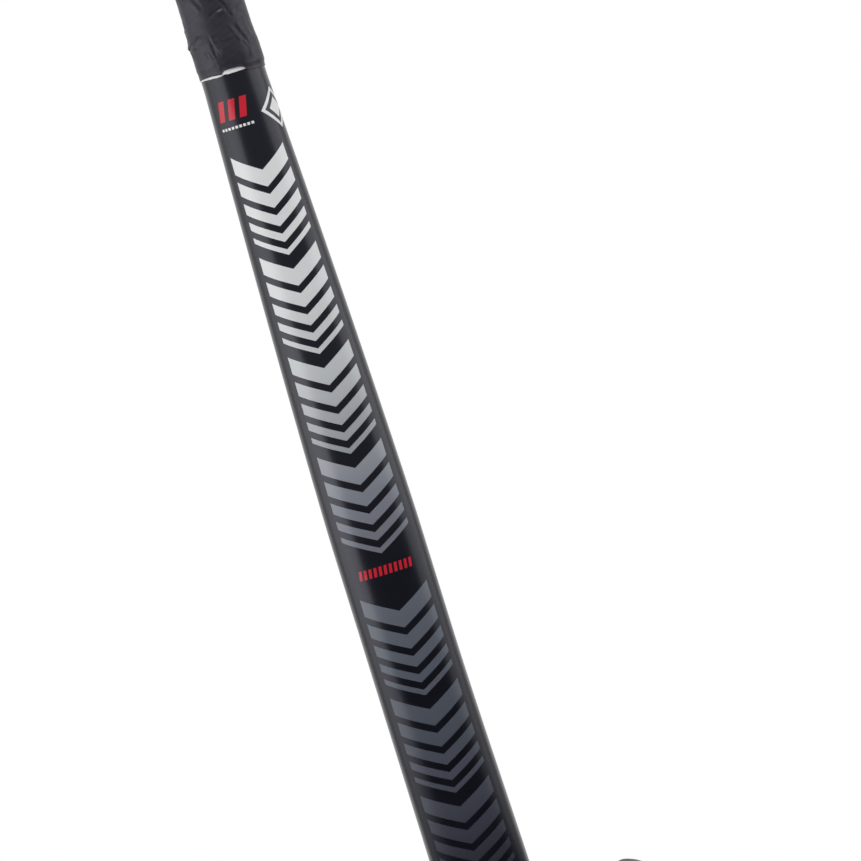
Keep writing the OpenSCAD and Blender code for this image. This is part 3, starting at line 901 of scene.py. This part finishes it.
# paint that gives way to the white backdrop towards the floor's edge, and in a shine is all backdrop
def floorMaterial():
    material = bpy.data.materials.new("pale_floor")
    material.use_nodes = True
    tree = material.node_tree
    add, wire = nodeTools(tree)
    paint = tree.nodes["Principled BSDF"]
    paint.inputs["Base Color"].default_value = (*room["floorPaint"], 1)
    paint.inputs["Roughness"].default_value = 0.9
    place, flat = add("ShaderNodeTexCoord"), add("ShaderNodeVectorMath", operation="MULTIPLY")
    flat.inputs[1].default_value = (1, 1, 0)
    wire(place.outputs["Object"], flat.inputs[0])
    reach = add("ShaderNodeVectorMath", operation="LENGTH")
    wire(flat.outputs[0], reach.inputs[0])
    fadeOut = add("ShaderNodeMapRange", interpolation_type="SMOOTHSTEP")
    fadeOut.inputs["From Min"].default_value, fadeOut.inputs["From Max"].default_value = room["floorFade"]
    wire(reach.outputs["Value"], fadeOut.inputs["Value"])
    white, both = add("ShaderNodeEmission"), add("ShaderNodeMixShader")
    backdrop = add("ShaderNodeGroup", node_tree=backdropGroup)
    wire(backdrop.outputs["White"], white.inputs["Strength"])
    path, gone = add("ShaderNodeLightPath"), add("ShaderNodeMath", operation="MAXIMUM")
    wire(fadeOut.outputs["Result"], gone.inputs[0])
    wire(path.outputs["Is Glossy Ray"], gone.inputs[1])
    wire(gone.outputs[0], both.inputs[0])
    wire(paint.outputs[0], both.inputs[1])
    wire(white.outputs[0], both.inputs[2])
    wire(both.outputs[0], tree.nodes["Material Output"].inputs["Surface"])
    return material


# a disc of rings round a middle point, under the lowest point of the stick
def makeFloor():
    low = cadBox[0].z
    columns, rows = 96, 24
    a = np.linspace(0, 2 * math.pi, columns, endpoint=False)
    r = np.linspace(0.01, room["floorRadius"], rows)[::-1, None]
    rings = np.stack([r * np.cos(a), r * np.sin(a), 0 * r * a + low], -1)
    verts = np.vstack([rings.reshape(-1, 3), [[0, 0, low]]])
    k = np.arange(columns)
    inner = (rows - 1) * columns
    middle = np.stack([inner + k, inner + (k + 1) % columns, np.full(columns, rows * columns)], 1).tolist()
    floor = finishMesh("floor", verts, [q[::-1] for q in gridFaces(rows, columns)] + middle)
    floor.data.materials.append(floorMaterial())


# a rectangular lamp; ramps give its brightness across its width and up its height
def addSoftbox(name, place, target, size, power, ramps=()):
    light = bpy.data.lights.new(name, "AREA")
    light.shape, light.energy = "RECTANGLE", power
    light.size, light.size_y = size
    if ramps:
        light.use_nodes = True
        tree = light.node_tree
        add, wire = nodeTools(tree)
        spot, split = add("ShaderNodeNewGeometry"), add("ShaderNodeSeparateXYZ")
        wire(spot.outputs["Parametric"], split.inputs[0])
        both = add("ShaderNodeMath", operation="MULTIPLY")
        for k, stops in enumerate(ramps):
            ramp = greyRamp(add, stops, "B_SPLINE")
            wire(split.outputs[k], ramp.inputs["Fac"])
            wire(ramp.outputs["Color"], both.inputs[k])
        wire(both.outputs[0], tree.nodes["Emission"].inputs["Strength"])
    lamp = bpy.data.objects.new(name, light)
    bpy.context.scene.collection.objects.link(lamp)
    lamp.location = place
    lamp.rotation_euler = (Vector(target) - Vector(place)).to_track_quat("-Z", "Y").to_euler()


def makeLights():
    r = room
    addSoftbox("key_softbox", r["keyPlace"], r["middle"], r["keySize"], r["key"])
    for name in ("left", "right"):
        box, away = r[name], r["sideDistance"]
        a = math.radians(box["turn"])
        place = (away * math.sin(a), -away * math.cos(a), box["height"])
        target = (*r["middle"][:2], box["height"])
        addSoftbox(name + "_softbox", place, target, box["size"], box["power"], (box["across"], r["glow"]))


# The camera stands far off, level with the end of the grip, and is aimed at the middle of the frame. It is rolled
# so that the handle leans to the left. width is what the frame spans at the handle.
view = dict(place=(0.0, -5.0, -0.353), aim=(0.0407, 0.0, -0.54955), roll=17.222, width=0.42192, sensor=36.0)


def makeCamera():
    v = view
    place, aim = Vector(v["place"]), Vector(v["aim"])
    data = bpy.data.cameras.new("camera")
    data.sensor_width = v["sensor"]
    data.lens = v["sensor"] * (aim - place).length / v["width"]
    data.clip_start, data.clip_end = 0.05, 50.0
    camera = bpy.data.objects.new("camera", data)
    bpy.context.scene.collection.objects.link(camera)
    turn = (aim - place).to_track_quat("-Z", "Y").to_matrix() @ Matrix.Rotation(math.radians(-v["roll"]), 3, "Z")
    camera.matrix_world = Matrix.Translation(place) @ turn.to_4x4()
    bpy.context.scene.camera = camera


makeBackground()
makeFloor()
makeLights()
makeCamera()
bpy.context.scene.view_settings.view_transform = "Standard"
print("room, lights and camera")
